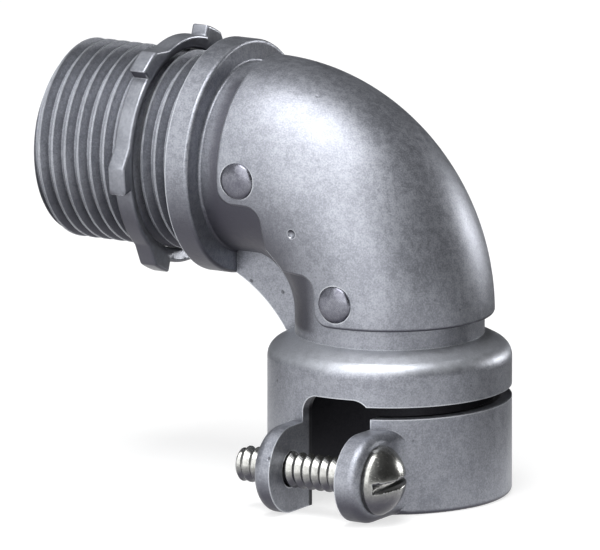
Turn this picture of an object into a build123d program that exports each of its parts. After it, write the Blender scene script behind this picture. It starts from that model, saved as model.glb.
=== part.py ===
from build123d import *
from math import asin, cos, radians, sin, sqrt
import os

# Elbow connector for flexible metal conduit, 3/4 in. trade size, in millimetres.
# The origin is the centre of the shoulder face that seats on the box wall. The threaded nipple
# points along -X, the clamp collar opens downwards along -Z, and the collar's ears face -Y.

# Nipple, its shoulder ring and the round neck behind it
nipple_radius = 13.335
nipple_length = 22.4
nipple_end_chamfer = 0.9
mouth_chamfer = 0.8
shoulder_radius = 15.7
shoulder_length = 3.4
shoulder_edge_round = 0.5
neck_radius = 12.65
neck_length = 3.4
neck_fillet = 0.4
passage_radius = 10.5

# Nipple thread, right-handed; its groove begins beyond the mouth and stops short of the shoulder
thread_pitch = 2.0
thread_depth = 1.05
thread_crest_width = 0.26
thread_root_width = 0.3
thread_lead_in = 2.15
thread_relief = 1.6
thread_overcut = 0.12

# Bend and the riveted cover that closes its back
bend_radius = 18.7
cover_radius = 14.0
cover_wall = 1.25
cover_edge_round = 0.45
cover_lip_round = 0.4
cheek_reach = 14.9
cheek_step = 6.4
cheek_bevel_reach = 9.3
cheek_end_round = 2.3
cheek_corner_round = 2.0
cheek_lap = 1.0

# Rivets, on the bend's centreline near both ends of the cover
rivet_angle = 10.2
rivet_shank_radius = 1.4
rivet_head_radius = 2.45
rivet_head_height = 0.75
rivet_head_dome = 0.35
rivet_tail_radius = 1.9
rivet_tail_height = 0.6
rivet_clearance = 0.05

# Drill-point mark on the near cheek
dimple_radius = 0.65
dimple_depth = 0.4
dimple_angle = 44.0
dimple_from_bend_centre = 16.85

# Web that braces the throat of the bend
web_thickness = 5.4
web_sagitta = 0.65

# Clamp collar for the conduit
collar_neck_length = 2.7
collar_radius = 16.3
collar_shoulder_rise = 1.9
collar_shoulder_round = 2.2
collar_foot_round = 0.7
collar_length = 21.6
socket_radius = 14.0
socket_depth = 17.0

# Window between the ears, and the slot that frees the clamp band
window_left = -4.0
window_right = 6.0
window_height = 15.5
window_corner_round = 2.4
slot_height = 1.6
slot_bottom = 13.0
slot_end_angle = 205.0

# Ears and clamp screw; the left ear is threaded, the right one has a plain hole
ear_reach = 18.7
ear_radius = 5.85
ear_root_height = 11.6
left_ear_thickness = 2.8
right_ear_thickness = 3.4
ear_edge_round = 1.4
ear_hollow_radius = 2.5
ear_bite = 0.05
screw_radius = 2.4
screw_tip_length = 4.7
screw_tip_chamfer = 0.4
screw_head_radius = 4.6
screw_head_height = 3.5
screw_head_edge = 0.7
screw_slot_width = 1.2
screw_slot_depth = 2.0
screw_slot_tilt = 5.0
thread_clearance = 0.05
screw_hole_clearance = 0.35

# Locknut
locknut_offset = 5.7
locknut_thickness = 2.6
locknut_radius = 15.3
locknut_dish = 0.5
lug_count = 6
lug_radius = 16.75
lug_top_angle = 13.0
lug_ramp_angle = 10.0
lug_first_angle = 54.0

# Places that follow from the sizes
bend_start = shoulder_length + neck_length
collar_x = bend_start + bend_radius
collar_top = -bend_radius - collar_neck_length
collar_bottom = collar_top - collar_length
socket_stop = collar_bottom + socket_depth
cover_bore_radius = cover_radius - cover_wall
left_ear_face = window_left - left_ear_thickness
right_ear_face = window_right + right_ear_thickness
screw_height = collar_bottom + ear_radius
overrun = 5.0
web_bite = 1.0
pick_slack = 0.1
ear_root = -passage_radius
far = 3 * cover_radius
bend_axis = Axis((bend_start, 0, -bend_radius), (0, 1, 0))


def turned_on_x(outline):
    """Solid turned about the nipple's axis from (x, radius) points."""
    return revolve(Plane.XZ * make_face(Polyline(*outline, close=True)), Axis.X)


def turned_on_collar(face):
    """Solid turned about the collar's axis from a face of (radius, z)."""
    return Pos(collar_x, 0, 0) * revolve(Plane.XZ * face, Axis.Z)


def corner(outline, x, y):
    """The corner of a drawn face that lies nearest to a place."""
    return outline.vertices().sort_by_distance((x, y))[:1]


def bend_tube(radius):
    """Quarter of a ring of the bend's radius, with a round section."""
    section = Plane((bend_start, 0, 0), x_dir=(0, 0, 1), z_dir=(1, 0, 0)) * Circle(radius)
    return revolve(section, bend_axis, 90)


def across(face, half_width):
    """A side-view face of (x, z), as thick as twice half_width about the middle plane."""
    return extrude(Plane.XZ * face, half_width, both=True)


def cylinder_on_y(radius, x, z, near, far_end):
    """Round bar along Y between two values of y."""
    disc = Plane((x, near, z), x_dir=(1, 0, 0), z_dir=(0, 1, 0)) * Circle(radius)
    return extrude(disc, far_end - near)


def cylinder_on_x(radius, start, end):
    """Round bar along the screw's axis between two values of x, counted from the collar's axis."""
    disc = Plane((collar_x + start, -ear_reach, screw_height), x_dir=(0, 1, 0), z_dir=(1, 0, 0))
    return extrude(disc * Circle(radius), end - start)


def on_bend(angle, distance):
    """Side-view place (x, z) at an angle round the bend from its nipple end."""
    turn = radians(angle)
    return bend_start + distance * sin(turn), -bend_radius + distance * cos(turn)


def rivet_places():
    """Side-view places of the nipple-side and the collar-side rivets."""
    return on_bend(rivet_angle, bend_radius), on_bend(90 - rivet_angle, bend_radius)


def nipple_and_neck():
    """Nipple with its end chamfer, the shoulder ring and the neck up to the bend."""
    outline = make_face(Polyline(
        (-nipple_length, 0),
        (-nipple_length, nipple_radius - nipple_end_chamfer),
        (-nipple_length + nipple_end_chamfer, nipple_radius),
        (0, nipple_radius),
        (0, shoulder_radius),
        (shoulder_length, shoulder_radius),
        (shoulder_length, neck_radius),
        (bend_start, neck_radius),
        (bend_start, 0),
        close=True,
    ))
    outline = fillet(corner(outline, shoulder_length, shoulder_radius), shoulder_edge_round)
    outline = fillet(corner(outline, shoulder_length, neck_radius), neck_fillet)
    return revolve(Plane.XZ * outline, Axis.X)


def nipple_groove():
    """The helical V groove that leaves the nipple's thread standing."""
    start = -nipple_length - thread_lead_in
    travel = -thread_relief - start
    path = Helix(thread_pitch, travel, nipple_radius, center=(start, 0, 0), direction=(1, 0, 0))
    first = path @ 0
    across_groove = Plane(first, x_dir=first - Vector(start, 0, 0), z_dir=path % 0)
    root = thread_root_width / 2
    slope = ((thread_pitch - thread_crest_width) / 2 - root) / thread_depth
    top = root + slope * (thread_depth + thread_overcut)
    profile = make_face(Polyline(
        (thread_overcut, -top),
        (-thread_depth, -root),
        (-thread_depth, root),
        (thread_overcut, top),
        close=True,
    ))
    return sweep(across_groove * profile, path, is_frenet=True)


def collar_blank():
    """Neck below the bend, rounded shoulder and plain clamp collar, before it is bored."""
    shoulder = collar_top - collar_shoulder_rise
    outline = make_face(Polyline(
        (0, -bend_radius),
        (neck_radius, -bend_radius),
        (neck_radius, collar_top),
        (collar_radius, shoulder),
        (collar_radius, collar_bottom),
        (0, collar_bottom),
        close=True,
    ))
    outline = fillet(corner(outline, collar_radius, shoulder), collar_shoulder_round)
    outline = fillet(corner(outline, collar_radius, collar_bottom), collar_foot_round)
    return turned_on_collar(outline)


def throat_web():
    """Flat web in the middle plane, from the shoulder ring's face to the collar's shoulder."""
    half = web_thickness / 2
    ring_corner = (shoulder_length, -sqrt(shoulder_radius**2 - half**2))
    collar_corner = (collar_x - (neck_radius + collar_radius) / 2, collar_top - collar_shoulder_rise / 2)
    edge = SagittaArc(collar_corner, ring_corner, -web_sagitta)
    inner_x = collar_x - passage_radius
    sides = Polyline(
        ring_corner,
        (shoulder_length - web_bite, ring_corner[1] + web_bite),
        (shoulder_length - web_bite, -passage_radius),
        (inner_x, -passage_radius),
        (inner_x, collar_corner[1]),
        collar_corner,
    )
    return across(make_face(edge + sides), half)


def ear_plan(inner_face, outer_face):
    """Plan of one ear: a flat inner face, and an outer face that runs into the collar in a hollow."""
    side = 1 if outer_face > inner_face else -1
    reach = collar_radius + ear_hollow_radius - ear_bite
    middle_x = outer_face + side * ear_hollow_radius
    middle_y = -sqrt(reach**2 - middle_x**2)
    foot = collar_radius / reach
    plan = make_face(Polyline(
        (inner_face, ear_root),
        (inner_face, -ear_reach - ear_radius),
        (outer_face, -ear_reach - ear_radius),
        (outer_face, middle_y),
        (middle_x, middle_y),
        (middle_x * foot, middle_y * foot),
        (middle_x * foot, ear_root),
        close=True,
    ))
    return plan - Pos(middle_x, middle_y) * Circle(ear_hollow_radius)


def ear(inner_face, outer_face):
    """One ear: round about the screw, its outer rim rounded, rooted in the collar."""
    side = 1 if outer_face > inner_face else -1
    arc = CenterArc((-ear_reach, screw_height), ear_radius, 0, 360)
    profile = make_hull([
        arc.edge(),
        Line((ear_root, collar_bottom), (ear_root, collar_bottom + ear_root_height)),
    ])
    profile = extrude(Plane.YZ * profile, collar_radius, both=True)
    plan = Pos(0, 0, collar_bottom) * extrude(ear_plan(inner_face, outer_face), 2 * ear_root_height)
    plate = plan & profile
    rim = plate.edges().filter_by(
        lambda edge: side * (edge.center().X - outer_face) > -pick_slack
        and abs((edge % 0.5).Z) < 1 - pick_slack
        and edge.center().Y < ear_root - ear_edge_round
    )
    return Pos(collar_x, 0, 0) * fillet(rim, ear_edge_round)


def wire_passage():
    """The hollow that runs from the nipple's mouth round the bend to the conduit's socket."""
    nipple_bore = turned_on_x([
        (-nipple_length - overrun, 0),
        (-nipple_length - overrun, passage_radius + mouth_chamfer),
        (-nipple_length, passage_radius + mouth_chamfer),
        (-nipple_length + mouth_chamfer, passage_radius),
        (bend_start, passage_radius),
        (bend_start, 0),
    ])
    collar_bore = turned_on_collar(make_face(Polyline(
        (0, -bend_radius),
        (passage_radius, -bend_radius),
        (passage_radius, socket_stop),
        (socket_radius, socket_stop),
        (socket_radius, collar_bottom - overrun),
        (0, collar_bottom - overrun),
        close=True,
    )))
    return nipple_bore + bend_tube(passage_radius) + collar_bore


def back_opening():
    """What is open at the back of the bend, one lap inside the cover's cheeks."""
    step = cheek_step + cheek_lap
    bevel = cheek_bevel_reach + cheek_lap * sqrt(2)
    outline = make_face(Polyline(
        (step, far), (step, bevel), (bevel, step), (far, step), (far, far), close=True,
    ))
    return across(Pos(bend_start, -bend_radius) * outline, far)


def clamp_window():
    """Gap between the ears, open into the socket and at the bottom."""
    width = window_right - window_left
    height = window_height + overrun
    gap = Rectangle(width, height, align=(Align.MIN, Align.MAX))
    gap = fillet(gap.vertices().group_by(Axis.Y)[-1], window_corner_round)
    gap = Pos(collar_x + window_left, collar_bottom + window_height) * gap
    return extrude(Plane.XZ * gap, ear_reach + ear_radius + overrun)


def band_slot():
    """Slot part of the way round the collar, from the window to the back."""
    start = (window_left + window_right) / 2
    lead_in = 90 - 90 * start / socket_radius
    middle = collar_bottom + slot_bottom + slot_height / 2
    section = Pos((socket_radius + collar_radius) / 2, middle)
    section = section * Rectangle(2 * (collar_radius - socket_radius), slot_height)
    turn = revolve(Plane.XZ * section, Axis.Z, slot_end_angle - (90 - lead_in))
    return Pos(collar_x, 0, 0) * Rot(0, 0, -lead_in) * turn


def connector_body():
    """The one-piece casting."""
    solid = nipple_and_neck() - nipple_groove()
    solid += bend_tube(neck_radius) + collar_blank() + throat_web()
    solid += ear(window_left, left_ear_face)
    solid += ear(window_right, right_ear_face)
    solid -= wire_passage()
    solid -= back_opening()
    solid -= clamp_window()
    solid -= band_slot()
    solid -= cylinder_on_x(screw_radius + thread_clearance, left_ear_face - overrun, 0)
    solid -= cylinder_on_x(screw_radius + screw_hole_clearance, 0, right_ear_face + overrun)
    for x, z in rivet_places():
        solid -= cylinder_on_y(rivet_shank_radius + rivet_clearance, x, z, -far, far)
    return solid


def cheek_blank():
    """Side view of the cover: lobes over the rivets, stepped cheeks and a bevel across the throat."""
    outline = make_face(Polyline(
        (0, cheek_reach), (cheek_step, cheek_reach), (cheek_step, cheek_bevel_reach),
        (cheek_bevel_reach, cheek_step), (cheek_reach, cheek_step), (cheek_reach, 0),
        (far, 0), (far, far), (0, far), close=True,
    ))
    for along, size in ((0, cheek_end_round), (cheek_step, cheek_corner_round)):
        outline = fillet(corner(outline, along, cheek_reach), size)
        outline = fillet(corner(outline, cheek_reach, along), size)
    return across(Pos(bend_start, -bend_radius) * outline, far)


def back_cover():
    """Curved shell riveted over the open back of the bend."""
    solid = (bend_tube(cover_radius) - bend_tube(cover_bore_radius)) & cheek_blank()

    def end_edges(radius):
        """The round edges at the cover's two ends."""
        rings = solid.edges().filter_by(GeomType.CIRCLE)
        rings = rings.filter_by(lambda edge: abs(edge.radius - radius) < pick_slack)
        return rings.filter_by(lambda edge: min(
            abs(edge.center().X - bend_start), abs(edge.center().Z + bend_radius)
        ) < pick_slack)

    solid = fillet(end_edges(cover_radius), cover_edge_round)
    solid = fillet(end_edges(cover_bore_radius), cover_lip_round)
    seat = sqrt(cover_radius**2 - rivet_head_radius**2)
    for x, z in rivet_places():
        solid -= cylinder_on_y(rivet_shank_radius + rivet_clearance, x, z, -far, far)
        solid -= cylinder_on_y(rivet_head_radius + rivet_clearance, x, z, seat, far)
        solid -= cylinder_on_y(rivet_head_radius + rivet_clearance, x, z, -far, -seat)
    x, z = on_bend(dimple_angle, dimple_from_bend_centre)
    side = sqrt(cover_radius**2 - (bend_radius - dimple_from_bend_centre) ** 2)
    ball = (dimple_radius**2 + dimple_depth**2) / (2 * dimple_depth)
    solid -= Pos(x, -side - ball + dimple_depth, z) * Sphere(ball)
    return solid


def headed_bar(shank, rim, crown, radius):
    """Turned fastener along X: shank points (x, radius), then a head with a domed crown."""
    rise = crown - rim
    ball = (radius**2 + rise**2) / (2 * rise)
    half_turn = asin(radius / ball) / 2
    middle = (crown - ball + ball * cos(half_turn), ball * sin(half_turn))
    dome = ThreePointArc((rim, radius), middle, (crown, 0))
    outline = Polyline((crown, 0), *shank, (rim, radius))
    return revolve(Plane.XZ * make_face(outline + dome), Axis.X)


def rivet(x, z, side):
    """One rivet: low domed head on the cheek, shank through both walls and an upset tail inside."""
    seat = sqrt(cover_radius**2 - rivet_head_radius**2)
    tail = sqrt(passage_radius**2 - rivet_tail_radius**2) - rivet_clearance
    shank = [
        (tail - rivet_tail_height, 0),
        (tail - rivet_tail_height, rivet_tail_radius),
        (tail, rivet_tail_radius),
        (tail, rivet_shank_radius),
        (seat, rivet_shank_radius),
        (seat, rivet_head_radius),
    ]
    crown = seat + rivet_head_height
    turned = headed_bar(shank, crown - rivet_head_dome, crown, rivet_head_radius)
    return Pos(x, 0, z) * Rot(0, 0, 90 * side) * turned


def lug_outline(middle):
    """Outline of one locknut lug: a sharp step, a round top and a ramp back to the rim."""
    def point(radius, angle):
        turn = radians(angle)
        return radius * cos(turn), radius * sin(turn)

    step = middle - lug_top_angle / 2
    crest = middle + lug_top_angle / 2
    top = ThreePointArc(point(lug_radius, step), point(lug_radius, middle), point(lug_radius, crest))
    ramp = Line(point(lug_radius, crest), point(locknut_radius, crest + lug_ramp_angle))
    root = Polyline(
        point(locknut_radius, crest + lug_ramp_angle),
        point(nipple_radius, crest),
        point(nipple_radius, step),
        point(lug_radius, step),
    )
    return make_face(top + ramp + root)


def locknut():
    """Stamped locknut with driving lugs, dished on the side that faces the shoulder."""
    bore = nipple_radius + thread_clearance
    outline = Circle(locknut_radius)
    for lug in range(lug_count):
        outline += lug_outline(lug_first_angle + lug * 360 / lug_count)
    plane = Plane((-locknut_offset, 0, 0), x_dir=(0, -1, 0), z_dir=(-1, 0, 0))
    solid = extrude(plane * outline, locknut_thickness)
    solid -= turned_on_x([
        (-locknut_offset - locknut_thickness - overrun, 0),
        (-locknut_offset - locknut_thickness - overrun, bore),
        (-locknut_offset - locknut_dish, bore),
        (-locknut_offset, locknut_radius - locknut_dish),
        (-locknut_offset + overrun, locknut_radius - locknut_dish),
        (-locknut_offset + overrun, 0),
    ])
    return solid


def clamp_screw():
    """Round-head slotted screw along X, its head against the right ear."""
    tip = left_ear_face - screw_tip_length
    crown = right_ear_face + screw_head_height
    shank = [
        (tip, 0),
        (tip, screw_radius - screw_tip_chamfer),
        (tip + screw_tip_chamfer, screw_radius),
        (right_ear_face, screw_radius),
        (right_ear_face, screw_head_radius),
    ]
    turned = headed_bar(shank, right_ear_face + screw_head_edge, crown, screw_head_radius)
    slot = Box(2 * screw_slot_depth, 3 * screw_head_radius, screw_slot_width)
    turned -= Pos(crown, 0, 0) * Rot(screw_slot_tilt, 0, 0) * slot
    return Pos(collar_x, -ear_reach, screw_height) * turned


def save(shape, name):
    export_step(shape, f"parts/{name}.step")


os.makedirs("parts", exist_ok=True)
save(connector_body(), "connector_body")
save(back_cover(), "back_cover")
save(locknut(), "locknut")
save(clamp_screw(), "clamp_screw")
nipple_side, collar_side = rivet_places()
save(rivet(*nipple_side, -1), "front_rivet_nipple_side")
save(rivet(*nipple_side, 1), "back_rivet_nipple_side")
save(rivet(*collar_side, -1), "front_rivet_collar_side")
save(rivet(*collar_side, 1), "back_rivet_collar_side")
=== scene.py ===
# %% [markdown]
# An elbow connector for flexible conduit.
#
# The real thing is a hollow casting with a threaded nipple at one end and a split clamp collar at the
# other. A curved cover is riveted over its open back, a locknut sits on the nipple and one screw
# closes the collar. The construction, with the nipple's thread, is already there as solids. This
# lesson adds what solids leave out: the screw's thread, the roundings that catch the light, and the
# plated metal itself.

import bmesh
import bpy
import numpy as np
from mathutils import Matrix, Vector


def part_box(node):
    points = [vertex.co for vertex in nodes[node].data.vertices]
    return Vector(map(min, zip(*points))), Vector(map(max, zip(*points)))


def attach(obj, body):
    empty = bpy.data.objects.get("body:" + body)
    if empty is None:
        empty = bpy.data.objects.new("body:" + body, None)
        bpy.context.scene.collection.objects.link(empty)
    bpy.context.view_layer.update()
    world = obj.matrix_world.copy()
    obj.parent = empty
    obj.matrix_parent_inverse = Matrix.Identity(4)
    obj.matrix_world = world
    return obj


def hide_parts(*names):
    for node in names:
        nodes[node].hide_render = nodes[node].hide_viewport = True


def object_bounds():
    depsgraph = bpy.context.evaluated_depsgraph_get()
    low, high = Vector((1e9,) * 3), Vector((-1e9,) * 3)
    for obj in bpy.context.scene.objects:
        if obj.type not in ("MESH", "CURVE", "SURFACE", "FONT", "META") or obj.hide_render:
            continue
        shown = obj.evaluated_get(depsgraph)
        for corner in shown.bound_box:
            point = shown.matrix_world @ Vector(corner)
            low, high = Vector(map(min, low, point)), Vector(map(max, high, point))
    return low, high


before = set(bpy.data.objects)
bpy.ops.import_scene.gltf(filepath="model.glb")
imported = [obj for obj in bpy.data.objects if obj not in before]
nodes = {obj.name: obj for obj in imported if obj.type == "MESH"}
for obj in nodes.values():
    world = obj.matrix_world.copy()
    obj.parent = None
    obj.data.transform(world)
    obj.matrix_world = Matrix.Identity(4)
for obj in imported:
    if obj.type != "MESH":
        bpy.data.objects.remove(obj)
cad_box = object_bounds()
MM = 0.001
print("solids:", ", ".join(sorted(nodes)))

# %% [markdown]
# The camera stands to the right of the collar's ears and a little above them, far away, so that the
# two axes of the elbow hardly converge. Its place was worked out from the rivets, the shoulder and
# the collar in the photograph. A long lens keeps the object large, and a small shift frames it.

# %% Camera
AZIMUTH = 31.0
ELEVATION = 12.0
DISTANCE = 3.0
AIM = Vector((0.010, 0.0, -0.014))
FRAME_WIDTH, FRAME_HEIGHT = 600, 550
PIXELS_PER_METRE = 7500
AIM_PIXEL = (289.9, 263.8)
SENSOR = 36.0
NEAREST, FARTHEST = 0.01, 10.0


def facing(azimuth, elevation):
    """Unit vector from the object at an azimuth and an elevation in degrees."""
    a, e = np.radians(azimuth), np.radians(elevation)
    return Vector((np.sin(a) * np.cos(e), -np.cos(a) * np.cos(e), np.sin(e)))


towards_camera = facing(AZIMUTH, ELEVATION)
camera = bpy.data.objects.new("camera", bpy.data.cameras.new("camera"))
bpy.context.scene.collection.objects.link(camera)
camera.location = AIM + DISTANCE * towards_camera
camera.rotation_mode = "QUATERNION"
camera.rotation_quaternion = (-towards_camera).to_track_quat("-Z", "Y")
camera.data.sensor_width = SENSOR
camera.data.lens = PIXELS_PER_METRE * DISTANCE * SENSOR / FRAME_WIDTH
camera.data.shift_x = (FRAME_WIDTH / 2 - AIM_PIXEL[0]) / FRAME_WIDTH
camera.data.shift_y = -(FRAME_HEIGHT / 2 - AIM_PIXEL[1]) / FRAME_WIDTH
camera.data.clip_start, camera.data.clip_end = NEAREST, FARTHEST
bpy.context.scene.camera = camera
print("lens", round(camera.data.lens, 1), "mm")

# %% [markdown]
# Every finish here is a small formula over the surface. Written as chained nodes it is hard to read,
# so a socket is wrapped in a class whose operators add the Math nodes, and one method makes any
# other node from its type, its settings and its inputs.


# %% Shader maths
class Wire:
    """An output socket that can be added, subtracted and multiplied."""

    def __init__(self, finish, socket):
        self.finish = finish
        self.socket = socket

    def _math(self, operation, first, second):
        """A Math node on this wire's own material."""
        return self.finish.node("ShaderNodeMath", {"operation": operation}, {0: first, 1: second})

    def __add__(self, other):
        return self._math("ADD", self, other)

    def __sub__(self, other):
        return self._math("SUBTRACT", self, other)

    def __mul__(self, other):
        return self._math("MULTIPLY", self, other)

    def __rsub__(self, other):
        return self._math("SUBTRACT", other, self)

    def at_least(self, other):
        return self._math("MAXIMUM", self, other)

    __radd__ = __add__
    __rmul__ = __mul__


print("shader maths: a wire can be added, subtracted, multiplied and compared")

# %% [markdown]
# A finish is one material. The Mix node has several sockets of the same name, one for each kind of
# data, so its colour sockets are reached by their numbers.

# %% Material maker
FIRST_COLOUR, SECOND_COLOUR, MIXED_COLOUR = 6, 7, 2


class Finish:
    """A material and the one method that makes its nodes."""

    def __init__(self, name):
        self.material = bpy.data.materials.new(name)
        self.material.use_nodes = True
        self.tree = self.material.node_tree
        self.shader = self.tree.nodes["Principled BSDF"]

    def node(self, kind, settings=None, inputs=None, output=0):
        """Any node, from its type, its settings and what goes into it; gives one of its outputs."""
        made = self.tree.nodes.new(kind)
        for name, value in (settings or {}).items():
            setattr(made, name, value)
        self.feed(made, inputs or {})
        return Wire(self, made.outputs[output])

    def feed(self, node, inputs):
        """Links the wires among the inputs and writes the plain values into their sockets."""
        for key, value in inputs.items():
            if isinstance(value, Wire):
                self.tree.links.new(value.socket, node.inputs[key])
            else:
                node.inputs[key].default_value = value

    def place(self):
        """Position on the piece, in metres."""
        return self.node("ShaderNodeTexCoord", output="Object")

    def split(self, place):
        """The three coordinates of a place, each on its own."""
        outputs = self.node("ShaderNodeSeparateXYZ", {}, {"Vector": place}).socket.node.outputs
        return [Wire(self, outputs[axis]) for axis in "XYZ"]

    def vector(self, operation, first, second):
        """One number worked out from two vectors, such as their distance or their dot product."""
        return self.node("ShaderNodeVectorMath", {"operation": operation}, {0: first, 1: second}, "Value")

    def noise(self, size_mm, detail, roughness, place):
        """Grain of a given size in millimetres, from 0 to 1."""
        inputs = {"Vector": place, "Scale": 1 / (size_mm * MM), "Detail": detail, "Roughness": roughness}
        return self.node("ShaderNodeTexNoise", {}, inputs, "Fac")

    def band(self, value, low, high):
        """Ramp from 0 at low to 1 at high, held outside."""
        inputs = {"Value": value, "From Min": low, "From Max": high}
        return self.node("ShaderNodeMapRange", {"interpolation_type": "SMOOTHSTEP"}, inputs)

    def blend(self, factor, first, second):
        """Colour between first and second."""
        inputs = {"Factor": factor, FIRST_COLOUR: first, SECOND_COLOUR: second}
        return self.node("ShaderNodeMix", {"data_type": "RGBA"}, inputs, MIXED_COLOUR)

    def bump(self, height, height_mm):
        """Normal of a surface whose relief is height_mm high where the height is 1."""
        inputs = {"Height": height, "Distance": height_mm * MM, "Strength": 1.0}
        return self.node("ShaderNodeBump", {}, inputs)

    def finish(self, **sockets):
        """Feeds the shader, whose socket names are written with _ for a blank."""
        self.feed(self.shader, {key.replace("_", " "): value for key, value in sockets.items()})
        return self.material


print("material maker: place, noise, band, blend and bump")

# %% [markdown]
# Plating wears first where two faces meet. The Bevel node gives the normal that a rounded edge would
# have, so where it leans away from the true normal there is an edge, and the ambient occlusion node
# tells an outer edge from an inner corner. Inner corners get painted shade in their colour. Both are
# worked out on the piece itself and can be baked.

# %% Edges and corners of a piece
EDGE_MM = 0.35
CORNER_MM = 1.6
RAY_SAMPLES = 6
# A pair of numbers says where a mask is 0 and where it is 1, here and further down.
LEANING = (0.01, 0.12)
OPEN_AT_EDGE = (0.55, 0.9)
OPEN_IN_CORNER = (0.25, 0.85)


def edge_and_corner(finish):
    """Two masks: bare outer edges, and inner corners for painted shade."""
    rounded = finish.node("ShaderNodeBevel", {"samples": RAY_SAMPLES}, {"Radius": EDGE_MM * MM})
    true = finish.node("ShaderNodeNewGeometry", output="Normal")
    lean = 1 - finish.vector("DOT_PRODUCT", rounded, true)
    settings = {"samples": RAY_SAMPLES, "only_local": True}
    open_sky = finish.node("ShaderNodeAmbientOcclusion", settings, {"Distance": CORNER_MM * MM}, "AO")
    edge = finish.band(lean, *LEANING) * finish.band(open_sky, *OPEN_AT_EDGE)
    corner = 1 - finish.band(open_sky, *OPEN_IN_CORNER)
    return edge, corner


print("edges", EDGE_MM, "mm wide, corners", CORNER_MM, "mm")

# %% [markdown]
# Metal that faces down gets painted shade: its colour is darkened there. The dot product of the normal
# with the upward direction says how far a surface faces up.

# %% Colours of wear, painted light and painted shade
PAINTED_SHADE = (0.052, 0.050, 0.066, 1)
RUBBED_AND_LIT = (0.80, 0.83, 0.88, 1)
NEAR_BLACK = (0.012, 0.011, 0.015, 1)
UNDERSIDE_SHADING = 0.92
NOT_DOWN = (-0.55, 0.15)


def upward(finish):
    """1 where the surface faces up, 0 where it is upright and -1 where it faces down."""
    return finish.vector("DOT_PRODUCT", finish.node("ShaderNodeTexCoord", output="Normal"), (0, 0, 1))


def shaded_below(finish, colour):
    """The colour, darkened with painted shade where the surface faces down."""
    facing_down = 1 - finish.band(upward(finish), *NOT_DOWN)
    # painted shade: darker where the surface faces down
    return finish.blend(facing_down * UNDERSIDE_SHADING, colour, PAINTED_SHADE)


print("colours of wear and dirt: dull", PAINTED_SHADE[:3], "rubbed", RUBBED_AND_LIT[:3], "near black", NEAR_BLACK[:3])

# %% [markdown]
# The casting differs from place to place. Its passage and socket are painted nearly black, as
# painted shade. The sides of the bend beside the cover are darkened with painted shade. The collar's
# round shoulder, where it faces up, is painted light, as a painted highlight. Four small pits stand
# where the photograph shows them. Each mask is a formula of the place on the piece.

# %% Places on the casting
COLLAR_X = 25.5 * MM
SOCKET_RADIUS, BORE_RADIUS = 15.0 * MM, 11.0 * MM
INNER_SHARE = 0.97
BELOW_STOP = (-24.5 * MM, -25.0 * MM)
BELOW_BEND = (-19.0 * MM, -19.5 * MM)
BEFORE_BEND = (7.0 * MM, 6.0 * MM)
OFF_WEB = (4.0 * MM, 6.0 * MM)
AFTER_RING = (3.5 * MM, 6.0 * MM)
PAST_SIDES = (19.0 * MM, 22.0 * MM)
ABOVE_NECK = (-20.8 * MM, -19.8 * MM)
ABOVE_COLLAR = (-25.6 * MM, -24.6 * MM)
ABOVE_SHOULDER = (-21.2 * MM, -20.2 * MM)
FACING_UP = (0.1, 0.6)
PITS = ((31.8, -15.0, -32.4), (21.2, -24.0, -34.8), (10.5, -2.7, -17.3), (5.6, -2.7, -16.3))
PIT_RADIUS = 0.32 * MM


def within(finish, squared, radius):
    """1 where a squared distance is well inside a radius, 0 from the radius on."""
    return 1 - finish.band(squared, (radius * INNER_SHARE) ** 2, radius**2)


def shaded_inside(finish, place):
    """1 within the collar's socket and the nipple's bore, 0 on the outside of the casting."""
    x, y, z = finish.split(place)
    from_collar = (x - COLLAR_X) * (x - COLLAR_X) + y * y
    from_nipple = y * y + z * z
    socket = within(finish, from_collar, SOCKET_RADIUS) * finish.band(z, *BELOW_STOP)
    throat = within(finish, from_collar, BORE_RADIUS) * finish.band(z, *BELOW_BEND)
    bore = within(finish, from_nipple, BORE_RADIUS) * finish.band(x, *BEFORE_BEND)
    return socket.at_least(throat).at_least(bore)


def shaded_sides(finish, place):
    """1 on the sides of the bend that the cover leaves bare, for painted shade; 0 on the web and on the
    turned ends.
    """
    x, y, z = finish.split(place)
    off_web = finish.band(y * y, OFF_WEB[0] ** 2, OFF_WEB[1] ** 2)
    on_sides = finish.band(x, *AFTER_RING) * (1 - finish.band(x, *PAST_SIDES))
    return off_web * on_sides * finish.band(z, *ABOVE_NECK)


def lit_shoulder(finish, place):
    """1 on the collar's round shoulder where it faces up, for a painted highlight."""
    z = finish.split(place)[2]
    on_shoulder = finish.band(z, *ABOVE_COLLAR) * (1 - finish.band(z, *ABOVE_SHOULDER))
    return on_shoulder * finish.band(upward(finish), *FACING_UP)


def known_pits(finish, place):
    """1 in the pits that the photograph shows."""
    total = 0
    for pit in PITS:
        gap = finish.vector("DISTANCE", place, [part * MM for part in pit])
        total = (1 - finish.band(gap, PIT_RADIUS * 0.5, PIT_RADIUS)) + total
    return total


print("pits that the photograph shows:", len(PITS))

# %% [markdown]
# A casting is never a single grey. Its skin has a fine grain from the mould, faint clouds, and a few
# pits where gas or sand was trapped. The same masks feed the colour and the bump, so that a pit is
# dark and deep at once.

# %% Cast metal
CAST_DARK, CAST_LIGHT = (0.22, 0.229, 0.26, 1), (0.36, 0.373, 0.413, 1)
CAST_METALLIC, CAST_ROUGHNESS = 0.8, 0.44
CLOUD_MM, MOTTLE_MM, GRAIN_MM = 6.0, 0.9, 0.22
PIT_SPACING_MM, PIT_CHOICE_MM = 4.2, 3.7
PIT_RIM, PIT_CHANCE, SHADE_SPREAD = (0.02, 0.07), (0.54, 0.62), (0.37, 0.63)
PIT_DEPTH = 1.6
SIDES_SHADING, SHOULDER_LIGHTING, EDGE_RUBBING = 0.8, 0.35, 0.7
CORNER_SHADING, PIT_DARKENING, INSIDE_SHADING = 0.6, 0.55, 0.93


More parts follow.
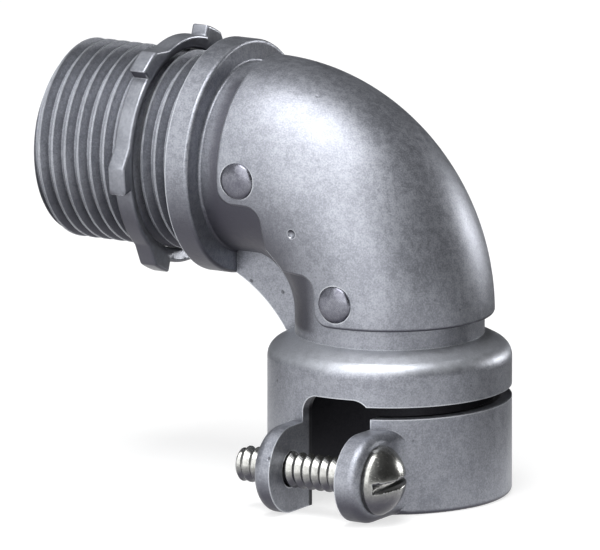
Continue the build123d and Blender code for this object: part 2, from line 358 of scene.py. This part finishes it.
def cast_metal(name, grain_height_mm, seed_shift, is_body):
    """Cool grey casting; the body also has painted shade on its sides and a painted highlight on its
    shoulder.
    """
    finish = Finish(name)
    true_place = finish.place()
    place = finish.node("ShaderNodeMapping", {}, {"Vector": true_place, "Location": (seed_shift, 0, 0)})
    clouds = finish.noise(CLOUD_MM, detail=3.0, roughness=0.5, place=place)
    mottle = finish.noise(MOTTLE_MM, detail=3.0, roughness=0.6, place=place)
    grain = finish.noise(GRAIN_MM, detail=2.0, roughness=0.6, place=place)
    cells = {"Vector": place, "Scale": 1 / (PIT_SPACING_MM * MM)}
    from_pit = finish.node("ShaderNodeTexVoronoi", {}, cells, "Distance")
    choice = finish.noise(PIT_CHOICE_MM, detail=1.0, roughness=0.5, place=place)
    pits = (1 - finish.band(from_pit, *PIT_RIM)) * finish.band(choice, *PIT_CHANCE)
    pits = pits.at_least(known_pits(finish, true_place))
    edge, corner = edge_and_corner(finish)

    shade = clouds * 0.25 + mottle * 0.3 + grain * 0.45
    colour = finish.blend(finish.band(shade, *SHADE_SPREAD), CAST_DARK, CAST_LIGHT)
    colour = shaded_below(finish, colour)
    if is_body:
        # painted shade on the sides of the bend beside the cover
        colour = finish.blend(shaded_sides(finish, true_place) * SIDES_SHADING, colour, PAINTED_SHADE)
        # painted highlight on the collar's shoulder where it faces up
        colour = finish.blend(lit_shoulder(finish, true_place) * SHOULDER_LIGHTING, colour, RUBBED_AND_LIT)
    # painted shade in inner corners, and darker pits
    colour = finish.blend(corner * CORNER_SHADING + pits * PIT_DARKENING, colour, NEAR_BLACK)
    colour = finish.blend(edge * EDGE_RUBBING, colour, RUBBED_AND_LIT)
    # painted shade: the socket, the throat and the bore nearly black
    colour = finish.blend(shaded_inside(finish, true_place) * INSIDE_SHADING, colour, NEAR_BLACK)

    relief = grain * 0.55 + mottle * 0.45 - pits * PIT_DEPTH
    roughness = CAST_ROUGHNESS + (mottle - 0.5) * 0.2 - edge * 0.1 + corner * 0.2
    normal = finish.bump(relief, grain_height_mm)
    return finish.finish(Base_Color=colour, Metallic=CAST_METALLIC, Roughness=roughness, Normal=normal)


body_metal = cast_metal("cast_metal_body", grain_height_mm=0.035, seed_shift=0.0, is_body=True)
cover_metal = cast_metal("cast_metal_cover", grain_height_mm=0.03, seed_shift=0.4, is_body=False)
print("castings:", body_metal.name, "and", cover_metal.name)

# %% [markdown]
# The locknut is plated steel, close to the casting in tone, and the rivets are darker. The screw is
# plain steel: neutral instead of blue, and glossy enough for a highlight on every turn.

# %% Plated and plain steel
STEEL_CLOUD_MM, STEEL_GRAIN_MM, STEEL_RELIEF_MM = 2.4, 0.4, 0.01
STEEL_CORNER_SHADING, STEEL_EDGE_RUBBING = 0.7, 0.5
STEEL_SPREAD = (0.3, 0.7)


def steel(name, dark, light, metallic, roughness):
    """Steel with light clouds in its colour and roughness, and rubbed edges."""
    finish = Finish(name)
    place = finish.place()
    clouds = finish.noise(STEEL_CLOUD_MM, detail=3.0, roughness=0.6, place=place)
    grain = finish.noise(STEEL_GRAIN_MM, detail=3.0, roughness=0.6, place=place)
    edge, corner = edge_and_corner(finish)
    colour = finish.blend(finish.band(clouds * 0.5 + grain * 0.5, *STEEL_SPREAD), dark, light)
    colour = shaded_below(finish, colour)
    # painted shade in inner corners
    colour = finish.blend(corner * STEEL_CORNER_SHADING, colour, NEAR_BLACK)
    colour = finish.blend(edge * STEEL_EDGE_RUBBING, colour, RUBBED_AND_LIT)
    rough = roughness + (grain - 0.5) * 0.15 + corner * 0.2
    normal = finish.bump(grain, STEEL_RELIEF_MM)
    return finish.finish(Base_Color=colour, Metallic=metallic, Roughness=rough, Normal=normal)


nut_metal = steel(
    "plated_locknut", (0.23, 0.24, 0.27, 1), (0.34, 0.352, 0.39, 1), metallic=0.6, roughness=0.34,
)
rivet_metal = steel(
    "plated_rivet", (0.13, 0.13, 0.16, 1), (0.25, 0.255, 0.29, 1), metallic=0.85, roughness=0.26,
)
screw_metal = steel(
    "plain_screw_steel", (0.24, 0.24, 0.23, 1), (0.42, 0.42, 0.40, 1), metallic=0.95, roughness=0.25,
)
print("steels:", nut_metal.name, rivet_metal.name, screw_metal.name)

# %% [markdown]
# The two castings have the right shape as solids, so they stay and only get their metal. The cover
# has the same metal as the body, shifted so that its clouds don't run on across the joint.

# %% Dress the castings
for node, metal in (("connector_body", body_metal), ("back_cover", cover_metal)):
    for slot in nodes[node].material_slots:
        slot.material = metal
    print(node, "wears", metal.name)

# %% [markdown]
# New surfaces are grids of points worked out as whole arrays. The grid closes round on itself and its
# two open ends are capped, which makes a closed skin that can be shown or used as a cutter.


# %% A grid of points becomes a closed skin
def face_outwards(mesh):
    """Merges doubled points and turns every face outwards."""
    work = bmesh.new()
    work.from_mesh(mesh)
    bmesh.ops.remove_doubles(work, verts=work.verts, dist=MM / 1000)
    bmesh.ops.recalc_face_normals(work, faces=work.faces)
    work.to_mesh(mesh)
    work.free()


def add_piece(name, mesh):
    """An object in the scene, with its faces turned outwards."""
    face_outwards(mesh)
    piece = bpy.data.objects.new(name, mesh)
    bpy.context.scene.collection.objects.link(piece)
    return piece


def closed_skin(name, points):
    """Skin of points[i, j]: i runs along the piece, j round its section, and both ends are capped."""
    along, around, _ = points.shape
    index = np.arange(along * around).reshape(along, around)
    right = np.roll(index, -1, axis=1)
    quads = np.stack([index[:-1], right[:-1], right[1:], index[1:]], axis=-1).reshape(-1, 4)
    faces = quads.tolist() + [index[0, ::-1].tolist(), index[-1].tolist()]
    mesh = bpy.data.meshes.new(name)
    mesh.from_pydata(points.reshape(-1, 3).tolist(), [], faces)
    return add_piece(name, mesh)


print("grid helpers: ready for the rivets and the thread")

# %% [markdown]
# A solid may be replaced by a copy of itself with more detail. Modifiers do that work and are then
# made real. Faces that meet at a small angle are shaded as one smooth surface.

# %% Copies with more detail
SMOOTH_ANGLE = 32
AREA_WEIGHT = 60


def merged_copy(node, name):
    """A copy of a solid with its doubled points merged, ready to be cut."""
    mesh = nodes[node].data.copy()
    mesh.name = name
    return add_piece(name, mesh)


def apply_modifiers(piece):
    """Makes what the modifiers show the piece's own mesh."""
    graph = bpy.context.evaluated_depsgraph_get()
    graph.update()
    made = bpy.data.meshes.new_from_object(piece.evaluated_get(graph))
    piece.modifiers.clear()
    piece.data = made


def smooth(piece, angle=SMOOTH_ANGLE):
    """Shades smoothly, with a hard edge wherever two faces meet at more than the angle."""
    for face in piece.data.polygons:
        face.use_smooth = True
    piece.data.set_sharp_from_angle(angle=np.radians(angle))
    weighted = piece.modifiers.new("weighted", "WEIGHTED_NORMAL")
    weighted.keep_sharp = True
    weighted.weight = AREA_WEIGHT
    apply_modifiers(piece)


def dress(piece, material):
    """Gives the piece one material."""
    piece.data.materials.clear()
    piece.data.materials.append(material)


print("faces that meet at less than", SMOOTH_ANGLE, "degrees are shaded as one")

# %% [markdown]
# The locknut is stamped from steel plate. Its solid has the right outline, so a merged copy only
# gets its edges rounded by a bevel, which is what makes the lugs catch the light. Then it is told
# which body it rides on and which solid it replaces.

# %% Locknut with rounded edges
NUT_EDGE = 0.4 * MM
NUT_EDGE_STEPS = 4
SHARP_ANGLE = 30

nut = merged_copy("locknut", "stamped_locknut")
rounding = nut.modifiers.new("rounding", "BEVEL")
rounding.width = NUT_EDGE
rounding.segments = NUT_EDGE_STEPS
rounding.limit_method = "ANGLE"
rounding.angle_limit = np.radians(SHARP_ANGLE)
apply_modifiers(nut)
smooth(nut)
dress(nut, nut_metal)
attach(nut, "locknut")
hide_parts("locknut")
print("locknut:", len(nut.data.polygons), "faces")

# %% [markdown]
# A rivet head is pressed by a cupped tool, so it is nearly flat in the middle and rolls over at its
# rim. That is a superellipse, turned about the rivet's own axis together with the shank and the tail.

# %% Rivets with a pressed head
RIVET_SHANK = 1.4 * MM
RIVET_TAIL = 1.9 * MM
TAIL_HEIGHT = 0.6 * MM
RIVET_HEAD_HEIGHT = 0.75 * MM
HEAD_FULLNESS = 2.5
ROLL_END = 86
ROLL_STEPS = 14
RIVET_SIDES = 72


def pressed_rivet(node):
    """Rivet turned about Y.

    The head at roll angle t has radius = head radius * cos(t) ** (2 / fullness) and
    height = seat + head height * sin(t) ** (2 / fullness).
    """
    low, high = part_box(node)
    middle = (low + high) / 2
    inner, crown = sorted((abs(low.y), abs(high.y)))
    head = (high.x - low.x) / 2
    seat = crown - RIVET_HEAD_HEIGHT
    roll = np.radians(np.linspace(0, ROLL_END, ROLL_STEPS))
    head_radius = head * np.cos(roll) ** (2 / HEAD_FULLNESS)
    head_height = seat + RIVET_HEAD_HEIGHT * np.sin(roll) ** (2 / HEAD_FULLNESS)
    tail_top = inner + TAIL_HEIGHT
    radius = np.concatenate([[RIVET_TAIL, RIVET_TAIL, RIVET_SHANK, RIVET_SHANK], head_radius])[:, None]
    height = np.concatenate([[inner, tail_top, tail_top, seat], head_height])[:, None]
    turn = np.linspace(0, 2 * np.pi, RIVET_SIDES, endpoint=False)[None, :]
    x = middle.x + radius * np.cos(turn)
    y = np.sign(middle.y) * height + 0 * turn
    z = middle.z + radius * np.sin(turn)
    piece = closed_skin("pressed_" + node, np.stack([x, y, z], axis=-1))
    smooth(piece)
    dress(piece, rivet_metal)
    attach(piece, "elbow")
    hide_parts(node)
    print(piece.name + ":", len(piece.data.polygons), "faces")


for name in [name for name in nodes if "rivet" in name]:
    pressed_rivet(name)

# %% [markdown]
# A thread is one V groove wound round a rod. The cutter is that V as a solid bar on a helix. At its
# inner end the bar climbs out of the metal over a part of a turn, as a die leaves it.

# %% Thread groove
STEPS_PER_TURN = 96
GROOVE_TOP_SHARE, GROOVE_ROOT_SHARE = 0.43, 0.06
CUTTER_SPARE = 0.3 * MM
LIFT_SPARE = 0.05 * MM
LIFT_CURVE = 1.5
EXIT_TURNS = 0.5


def groove_cutter(axis_y, axis_z, first_x, last_x, pitch, crest, depth):
    """V-shaped bar wound about X.

    At turn angle t the bar stands at x = first_x + pitch * t / (2 pi), and across the V its radius
    goes from above the crest down to the root and up again. Over the last EXIT_TURNS the radius
    rises by a little more than the depth, so the groove fades out.
    """
    turns = (last_x - first_x) / pitch
    turn = np.linspace(0, turns, int(turns * STEPS_PER_TURN))[:, None]
    top, bottom = GROOVE_TOP_SHARE * pitch, GROOVE_ROOT_SHARE * pitch
    root, above = crest - depth, crest + CUTTER_SPARE
    offset = np.array([-top, -top, -bottom, bottom, top, top])[None, :]
    radius = np.array([above, crest, root, root, crest, above])[None, :]
    fade = np.clip((turn - (turns - EXIT_TURNS)) / EXIT_TURNS, 0, 1) ** LIFT_CURVE
    radius = radius + fade * (depth + LIFT_SPARE)
    angle = 2 * np.pi * turn
    x = first_x + pitch * turn + offset
    y = axis_y + radius * np.cos(angle)
    z = axis_z + radius * np.sin(angle)
    return closed_skin("groove", np.stack([x, y, z], axis=-1))


def cut(piece, cutter):
    """Takes the cutter away from the piece and deletes it."""
    modifier = piece.modifiers.new("cut", "BOOLEAN")
    modifier.operation = "DIFFERENCE"
    modifier.solver = "EXACT"
    modifier.object = cutter
    apply_modifiers(piece)
    bpy.data.objects.remove(cutter, do_unlink=True)


print("thread cutter:", STEPS_PER_TURN, "steps a turn")

# %% [markdown]
# The clamp screw is a round-head machine screw. Its thread runs from the tip to just under the head.

# %% Clamp screw
SCREW_PITCH = 1.33 * MM
SCREW_DEPTH = 0.5 * MM
SCREW_RADIUS = 2.4 * MM
HEAD_HEIGHT = 3.5 * MM
PLAIN_LENGTH = 0.5 * MM
SCREW_SMOOTH_ANGLE = 40

low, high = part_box("clamp_screw")
screw = merged_copy("clamp_screw", "threaded_screw")
groove = groove_cutter(
    axis_y=(high.y + low.y) / 2,
    axis_z=(high.z + low.z) / 2,
    first_x=low.x - SCREW_PITCH,
    last_x=high.x - HEAD_HEIGHT - PLAIN_LENGTH,
    pitch=SCREW_PITCH,
    crest=SCREW_RADIUS,
    depth=SCREW_DEPTH,
)
cut(screw, groove)
smooth(screw, SCREW_SMOOTH_ANGLE)
dress(screw, screw_metal)
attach(screw, "clamp_screw")
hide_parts("clamp_screw")
print("screw:", len(screw.data.polygons), "faces")

# %% [markdown]
# The floor is plain and pale and comes out white. It glows for the camera, a little less on a sheet
# of paper under the object, where the lamps make up the rest and the object's shadow shows. Metal
# that mirrored an endless white floor would lose its shape, so it sees the paper and the foreground
# and nearly nothing beside and behind them. The Light Path node tells these rays apart.

# %% Floor
FLOOR_HALF = 3.0
FLOOR_GLOW = 0.7
FLOOR_GREY = 0.36
FLOOR_ROUGHNESS = 0.9
PAPER_MIDDLE, PAPER_HALF, PAPER_EDGE = 8.6 * MM, 42 * MM, 1.3
PAPER_FADE = 0.93
BACK_SLANT, BACK_START, BACK_END = 0.35, -20 * MM, 40 * MM
BLACK, WHITE = (0, 0, 0, 1), (1, 1, 1, 1)


def paper_sheet(finish):
    """1 on the paper and in the foreground, falling to nearly 0 beside the paper at the back."""
    place = finish.place()
    sideways = finish.vector("DOT_PRODUCT", place, facing(AZIMUTH + 90, 0))
    forwards = finish.vector("DOT_PRODUCT", place, facing(AZIMUTH, 0))
    off_middle = finish.node("ShaderNodeMath", {"operation": "ABSOLUTE"}, {0: sideways - PAPER_MIDDLE})
    beside = finish.band(off_middle, PAPER_HALF, PAPER_HALF * PAPER_EDGE)
    behind = 1 - finish.band(forwards - sideways * BACK_SLANT, BACK_START, BACK_END)
    return 1 - beside * behind * PAPER_FADE


def floor_finish():
    """Pale paper that glows by the kind of ray that sees it."""
    finish = Finish("pale_floor")
    paper = paper_sheet(finish)
    camera_ray = finish.node("ShaderNodeLightPath", output="Is Camera Ray")
    glossy_ray = finish.node("ShaderNodeLightPath", output="Is Glossy Ray")
    clear_ray = finish.node("ShaderNodeLightPath", output="Is Transmission Ray")
    in_metal = glossy_ray.at_least(clear_ray) * paper * FLOOR_GLOW
    to_camera = camera_ray * (1 - paper * (1 - FLOOR_GLOW))
    glow = finish.blend(in_metal.at_least(to_camera), BLACK, WHITE)
    tone = finish.blend(paper, BLACK, (FLOOR_GREY, FLOOR_GREY, FLOOR_GREY, 1))
    return finish.finish(
        Base_Color=tone, Roughness=FLOOR_ROUGHNESS, Emission_Color=glow, Emission_Strength=1.0,
    )


floor_z = cad_box[0].z
floor_mesh = bpy.data.meshes.new("floor")
corners = [(-1, -1), (1, -1), (1, 1), (-1, 1)]
floor_mesh.from_pydata([(x * FLOOR_HALF, y * FLOOR_HALF, floor_z) for x, y in corners], [], [(0, 1, 2, 3)])
floor = bpy.data.objects.new("floor", floor_mesh)
bpy.context.scene.collection.objects.link(floor)
dress(floor, floor_finish())
print("floor at Z", round(floor_z, 4))

# %% [markdown]
# The light is plain and soft. A faint sky is strongest in front and to the left. One large lamp in
# front gives the broad light on the bend, one overhead lights the collar's shoulder, and a weak one
# behind on the right draws the light rim along the bend's outside.

# %% Sky and lamps
SKY_COLOUR = (0.95, 0.97, 1.0, 1)
SKY_WIDTH = 0.85


def lamp(name, azimuth, elevation, distance, size, watts):
    """Square soft lamp that looks at the object from an azimuth and an elevation in degrees."""
    data = bpy.data.lights.new(name, "AREA")
    data.size = size
    data.energy = watts
    made = bpy.data.objects.new(name, data)
    bpy.context.scene.collection.objects.link(made)
    back = facing(azimuth, elevation)
    made.location = AIM + distance * back
    made.rotation_euler = (-back).to_track_quat("-Z", "Y").to_euler()


def sky(azimuth, elevation, weakest, strongest):
    """Soft sky, strongest in one direction and weakest opposite to it, and white to the camera."""
    world = bpy.data.worlds.new("sky")
    bpy.context.scene.world = world
    world.use_nodes = True
    tree = world.node_tree
    place = tree.nodes.new("ShaderNodeTexCoord")
    towards = tree.nodes.new("ShaderNodeVectorMath")
    towards.operation = "DOT_PRODUCT"
    towards.inputs[1].default_value = facing(azimuth, elevation)
    ramp = tree.nodes.new("ShaderNodeMapRange")
    ramp.interpolation_type = "SMOOTHSTEP"
    ramp.inputs["From Max"].default_value = SKY_WIDTH
    ramp.inputs["To Min"].default_value = weakest
    ramp.inputs["To Max"].default_value = strongest
    strength = tree.nodes.new("ShaderNodeMath")
    strength.operation = "MAXIMUM"
    path = tree.nodes.new("ShaderNodeLightPath")
    background = tree.nodes["Background"]
    background.inputs["Color"].default_value = SKY_COLOUR
    tree.links.new(place.outputs["Generated"], towards.inputs[0])
    tree.links.new(towards.outputs["Value"], ramp.inputs["Value"])
    tree.links.new(ramp.outputs["Result"], strength.inputs[0])
    tree.links.new(path.outputs["Is Camera Ray"], strength.inputs[1])
    tree.links.new(strength.outputs["Value"], background.inputs["Strength"])


sky(azimuth=-30, elevation=30, weakest=0.005, strongest=0.4)
lamp("key_front_left", azimuth=2, elevation=27, distance=0.9, size=1.0, watts=7.4)
lamp("top_soft", azimuth=12, elevation=74, distance=0.9, size=0.6, watts=8.0)
lamp("rim_back_right", azimuth=155, elevation=9, distance=1.0, size=0.25, watts=2.6)
bpy.context.scene.view_settings.view_transform = "Standard"
print("lamps:", len(bpy.data.lights))
